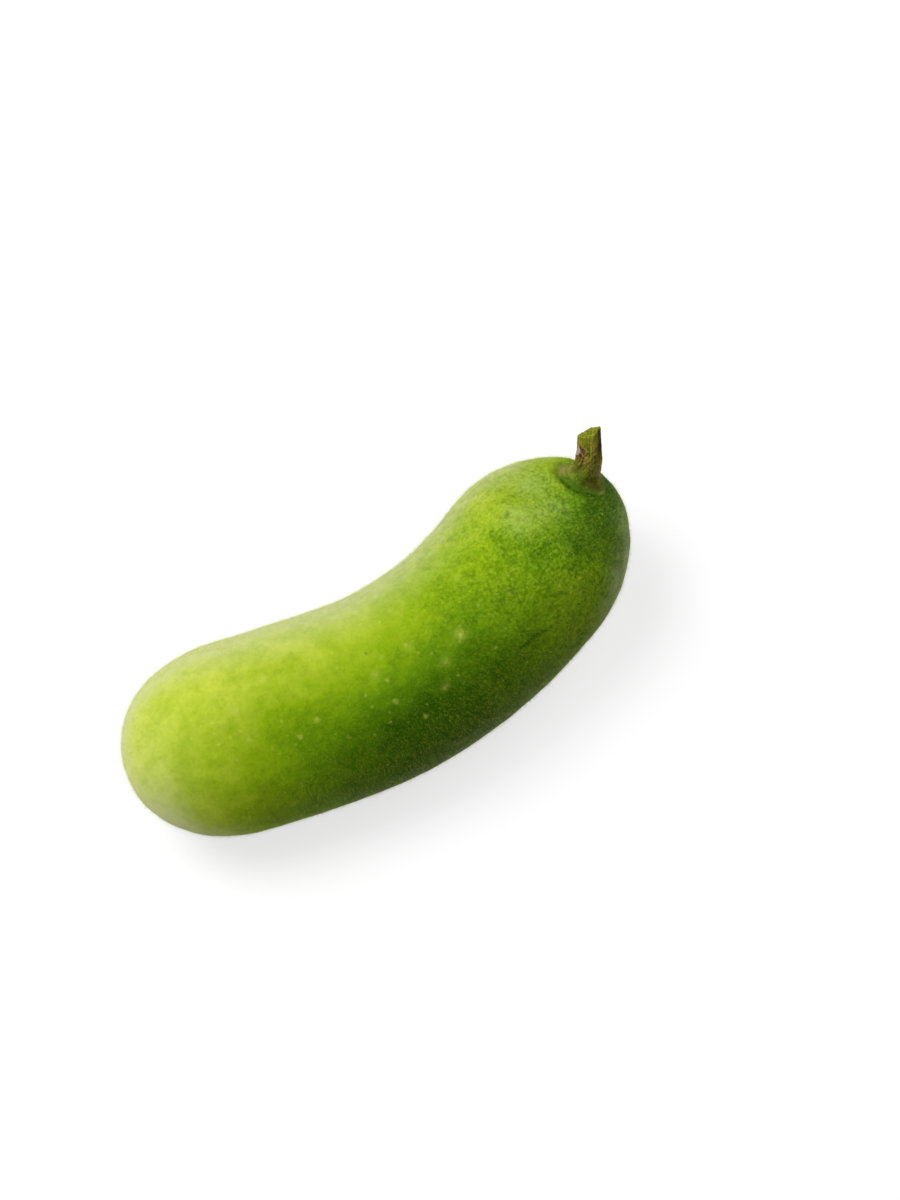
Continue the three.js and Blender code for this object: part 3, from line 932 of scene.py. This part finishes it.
def makeDownTree():
    tree, given, out = newTree(
        "down", "GeometryNodeTree",
        {"Geometry": "Geometry", "Density": "Float", "Share": "String", "Length": "Float", "Width": "Float",
         "Bend": "Float", "Lean": "Float", "Segments": "Int", "Seed": "Int", "Material": "Material"},
        {"Geometry": "Geometry"})

    def vector(x, y, z):
        return node(tree, "ShaderNodeCombineXYZ", {"X": x, "Y": y, "Z": z})

    share = node(tree, "GeometryNodeInputNamedAttribute", {"Name": given["Share"]}, data_type="FLOAT")
    density = times(tree, given["Density"], share.outputs["Attribute"])
    roots = node(tree, "GeometryNodeDistributePointsOnFaces",
                 {"Mesh": given["Geometry"], "Density": density, "Seed": given["Seed"]},
                 distribute_method="RANDOM")
    # one hair, standing on the origin, its tip leaning over by the bend
    cone = node(tree, "GeometryNodeMeshCone",
                {"Vertices": 3, "Side Segments": given["Segments"], "Radius Top": 0.0,
                 "Radius Bottom": times(tree, given["Width"], 0.5), "Depth": given["Length"]},
                fill_type="NGON")
    place = node(tree, "ShaderNodeSeparateXYZ", {0: node(tree, "GeometryNodeInputPosition")})
    rise = maths(tree, "DIVIDE", place.outputs["Z"], given["Length"])
    sideways = times(tree, rise, rise, times(tree, given["Bend"], given["Length"]))
    hair = node(tree, "GeometryNodeSetPosition",
                {"Geometry": cone.outputs["Mesh"], "Offset": vector(sideways, 0.0, 0.0)})
    # each leans its own way and has its own size
    most = maths(tree, "RADIANS", given["Lean"])
    least = times(tree, most, -1.0)
    tilt = node(tree, "FunctionNodeRandomValue",
                {0: vector(least, least, -np.pi), 1: vector(most, most, np.pi), "Seed": given["Seed"]},
                data_type="FLOAT_VECTOR")
    tilted = node(tree, "FunctionNodeEulerToRotation", {0: tilt})
    turned = node(tree, "FunctionNodeRotateRotation",
                  {"Rotation": roots.outputs["Rotation"], "Rotate By": tilted},
                  rotation_space="LOCAL")
    size = node(tree, "FunctionNodeRandomValue",
                {2: down["leastSize"], 3: down["mostSize"], "Seed": given["Seed"]}, data_type="FLOAT")
    stood = node(tree, "GeometryNodeInstanceOnPoints",
                 {"Points": roots.outputs["Points"], "Instance": hair,
                  "Rotation": turned, "Scale": size.outputs[1]})
    real = node(tree, "GeometryNodeRealizeInstances", {0: stood})
    finished = node(tree, "GeometryNodeSetMaterial",
                    {"Geometry": real, "Material": given["Material"]})
    tree.links.new(finished.outputs[0], out["Geometry"])
    return tree


def growDown(surface, name, share, material):
    # the coat's own copy of the surface carries the tree, and its result becomes a plain mesh
    hairs, length, width, bend, lean, seed = down["coats"][name]
    own = surface.data.attributes
    weights = np.zeros(len(surface.data.vertices))
    own[share].data.foreach_get("value", weights)
    area = sum(face.area * weights[list(face.vertices)].mean() for face in surface.data.polygons)
    carrier = placed(name + "_roots", surface.data)
    modifier = carrier.modifiers.new("down", "NODES")
    modifier.node_group = downTree
    values = {"Density": hairs / area, "Share": share, "Length": length * mm, "Width": width * mm,
              "Bend": bend, "Lean": float(lean), "Segments": 2 if bend else 1, "Seed": seed,
              "Material": material}
    for socket in downTree.interface.items_tree:
        if socket.in_out == "INPUT" and socket.name in values:
            modifier[socket.identifier] = values[socket.name]
    graph = bpy.context.evaluated_depsgraph_get()
    mesh = bpy.data.meshes.new_from_object(carrier.evaluated_get(graph))
    bpy.data.objects.remove(carrier)
    mesh.name = name
    for spare in own.keys():
        if spare in mesh.attributes and not own[spare].is_required:
            mesh.attributes.remove(mesh.attributes[spare])
    print(name + ":", len(mesh.polygons), "faces")
    return placed(name, mesh)


downTree = makeDownTree()
paleHair = newMaterial("paleDown", down["constants"] | down["paleHair"])[0]
fibre = newMaterial("tornFibre", down["constants"] | down["fibre"])[0]
downPieces = [growDown(skin, name, "downShare", paleHair)
              for name in ("down_short", "down_long", "down_bent")]
stalkDown = growDown(stalkPiece, "down_stalk", "downShare", paleHair)
tuft = growDown(stalkPiece, "stalk_fibres", "tuftShare", fibre)


# what rides on what

for piece in (skin, *downPieces):
    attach(piece, "root")
for piece in (stalkPiece, stalkDown, tuft):
    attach(piece, "root")
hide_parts("fruit")
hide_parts("stalk")


# floor, light and camera, in metres

stage = {
    "floorSize": 6.0, "floorPaper": 0.4, "floorBounce": 0.12, "world": 0.012,
    # its glow by the distance from the middle: further out, where the lamps fade, it glows more
    "floorGlow": (0.3, 1.3, 0.7, 1),
    "lampDistance": 1.4, "lampSize": 0.9,
    # direction from the fruit, and strength as a share of full light
    "lamps": {
        "key": ((-0.32, 0.36, 0.88), 0.66), "front": ((0.45, -0.08, 0.88), 0.16),
        "right": ((0.83, 0.05, 0.55), 0.25), "back": ((-0.29, 0.78, 0.55), 0.22),
        "left": ((-0.94, -0.14, 0.30), 0.37),
    },
}
camera = {
    "azimuth": -33, "elevation": 67, "distance": 1.097, "aim": (0.0283, 0.0057, 0.0437),
    "nearest": 0.05, "furthest": 20, "lens": 90, "sensor": 36,  # the last two in millimetres
}


def grey(value):
    return (value, value, value, 1)


def bySight(tree, lit, shown):
    # one shader for what it lights and another for what the camera sees, also in and through things
    rays = node(tree, "ShaderNodeLightPath").outputs
    seen = maths(tree, "MAXIMUM", rays["Is Camera Ray"], rays["Is Glossy Ray"])
    seen = maths(tree, "MAXIMUM", seen, rays["Is Transmission Ray"])
    return node(tree, "ShaderNodeMixShader", {0: seen, 1: lit, 2: shown}).outputs[0]


def makeFloor():
    half = stage["floorSize"] / 2
    mesh = bpy.data.meshes.new("floor")
    corners = [(-half, -half, 0), (half, -half, 0), (half, half, 0), (-half, half, 0)]
    mesh.from_pydata(corners, [], [(0, 1, 2, 3)])
    floor = placed("floor", mesh)
    material, tree = newMaterial("paleFloor", {})[:2]
    tree.nodes.remove(tree.nodes["Principled BSDF"])
    place = node(tree, "ShaderNodeTexCoord").outputs["Object"]
    away = node(tree, "ShaderNodeVectorMath", {0: place}, operation="LENGTH").outputs["Value"]
    glow = remap(tree, away, *stage["floorGlow"])
    white = node(tree, "ShaderNodeEmission", {"Color": grey(1), "Strength": glow})
    paper = node(tree, "ShaderNodeBsdfDiffuse", {"Color": grey(stage["floorPaper"])})
    shown = node(tree, "ShaderNodeAddShader", {0: paper, 1: white})
    bounce = node(tree, "ShaderNodeBsdfDiffuse", {"Color": grey(stage["floorBounce"])})
    tree.links.new(bySight(tree, bounce, shown), tree.nodes["Material Output"].inputs["Surface"])
    mesh.materials.append(material)


def makeWorld():
    world = bpy.data.worlds.new("studio")
    bpy.context.scene.world = world
    world.use_nodes = True
    tree = world.node_tree
    tree.nodes.clear()
    fill = node(tree, "ShaderNodeBackground", {"Color": grey(1), "Strength": stage["world"]})
    white = node(tree, "ShaderNodeBackground", {"Color": grey(1), "Strength": 1.0})
    out = node(tree, "ShaderNodeOutputWorld")
    tree.links.new(bySight(tree, fill, white), out.inputs["Surface"])


def makeLamps():
    distance = stage["lampDistance"]
    for name, (direction, strength) in stage["lamps"].items():
        lamp = bpy.data.lights.new(name, "AREA")
        lamp.shape = "DISK"
        lamp.size = stage["lampSize"]
        lamp.energy = strength * np.pi ** 2 * distance ** 2
        holder = placed(name, lamp)
        away = Vector(direction).normalized()
        holder.location = (cadLow + cadHigh) / 2 + away * distance
        holder.rotation_euler = (-away).to_track_quat("-Z", "Y").to_euler()


def makeCamera():
    data = bpy.data.cameras.new("camera")
    data.lens, data.sensor_width = camera["lens"], camera["sensor"]
    data.clip_start, data.clip_end = camera["nearest"], camera["furthest"]
    holder = placed("camera", data)
    back = Vector(directionOf(camera["azimuth"] - 90, camera["elevation"]))
    holder.location = Vector(camera["aim"]) + back * camera["distance"]
    holder.rotation_mode = "QUATERNION"
    holder.rotation_quaternion = (-back).to_track_quat("-Z", "Y")
    bpy.context.scene.camera = holder


makeFloor()
makeWorld()
makeLamps()
makeCamera()
bpy.context.scene.view_settings.view_transform = "Standard"
print("stage set")
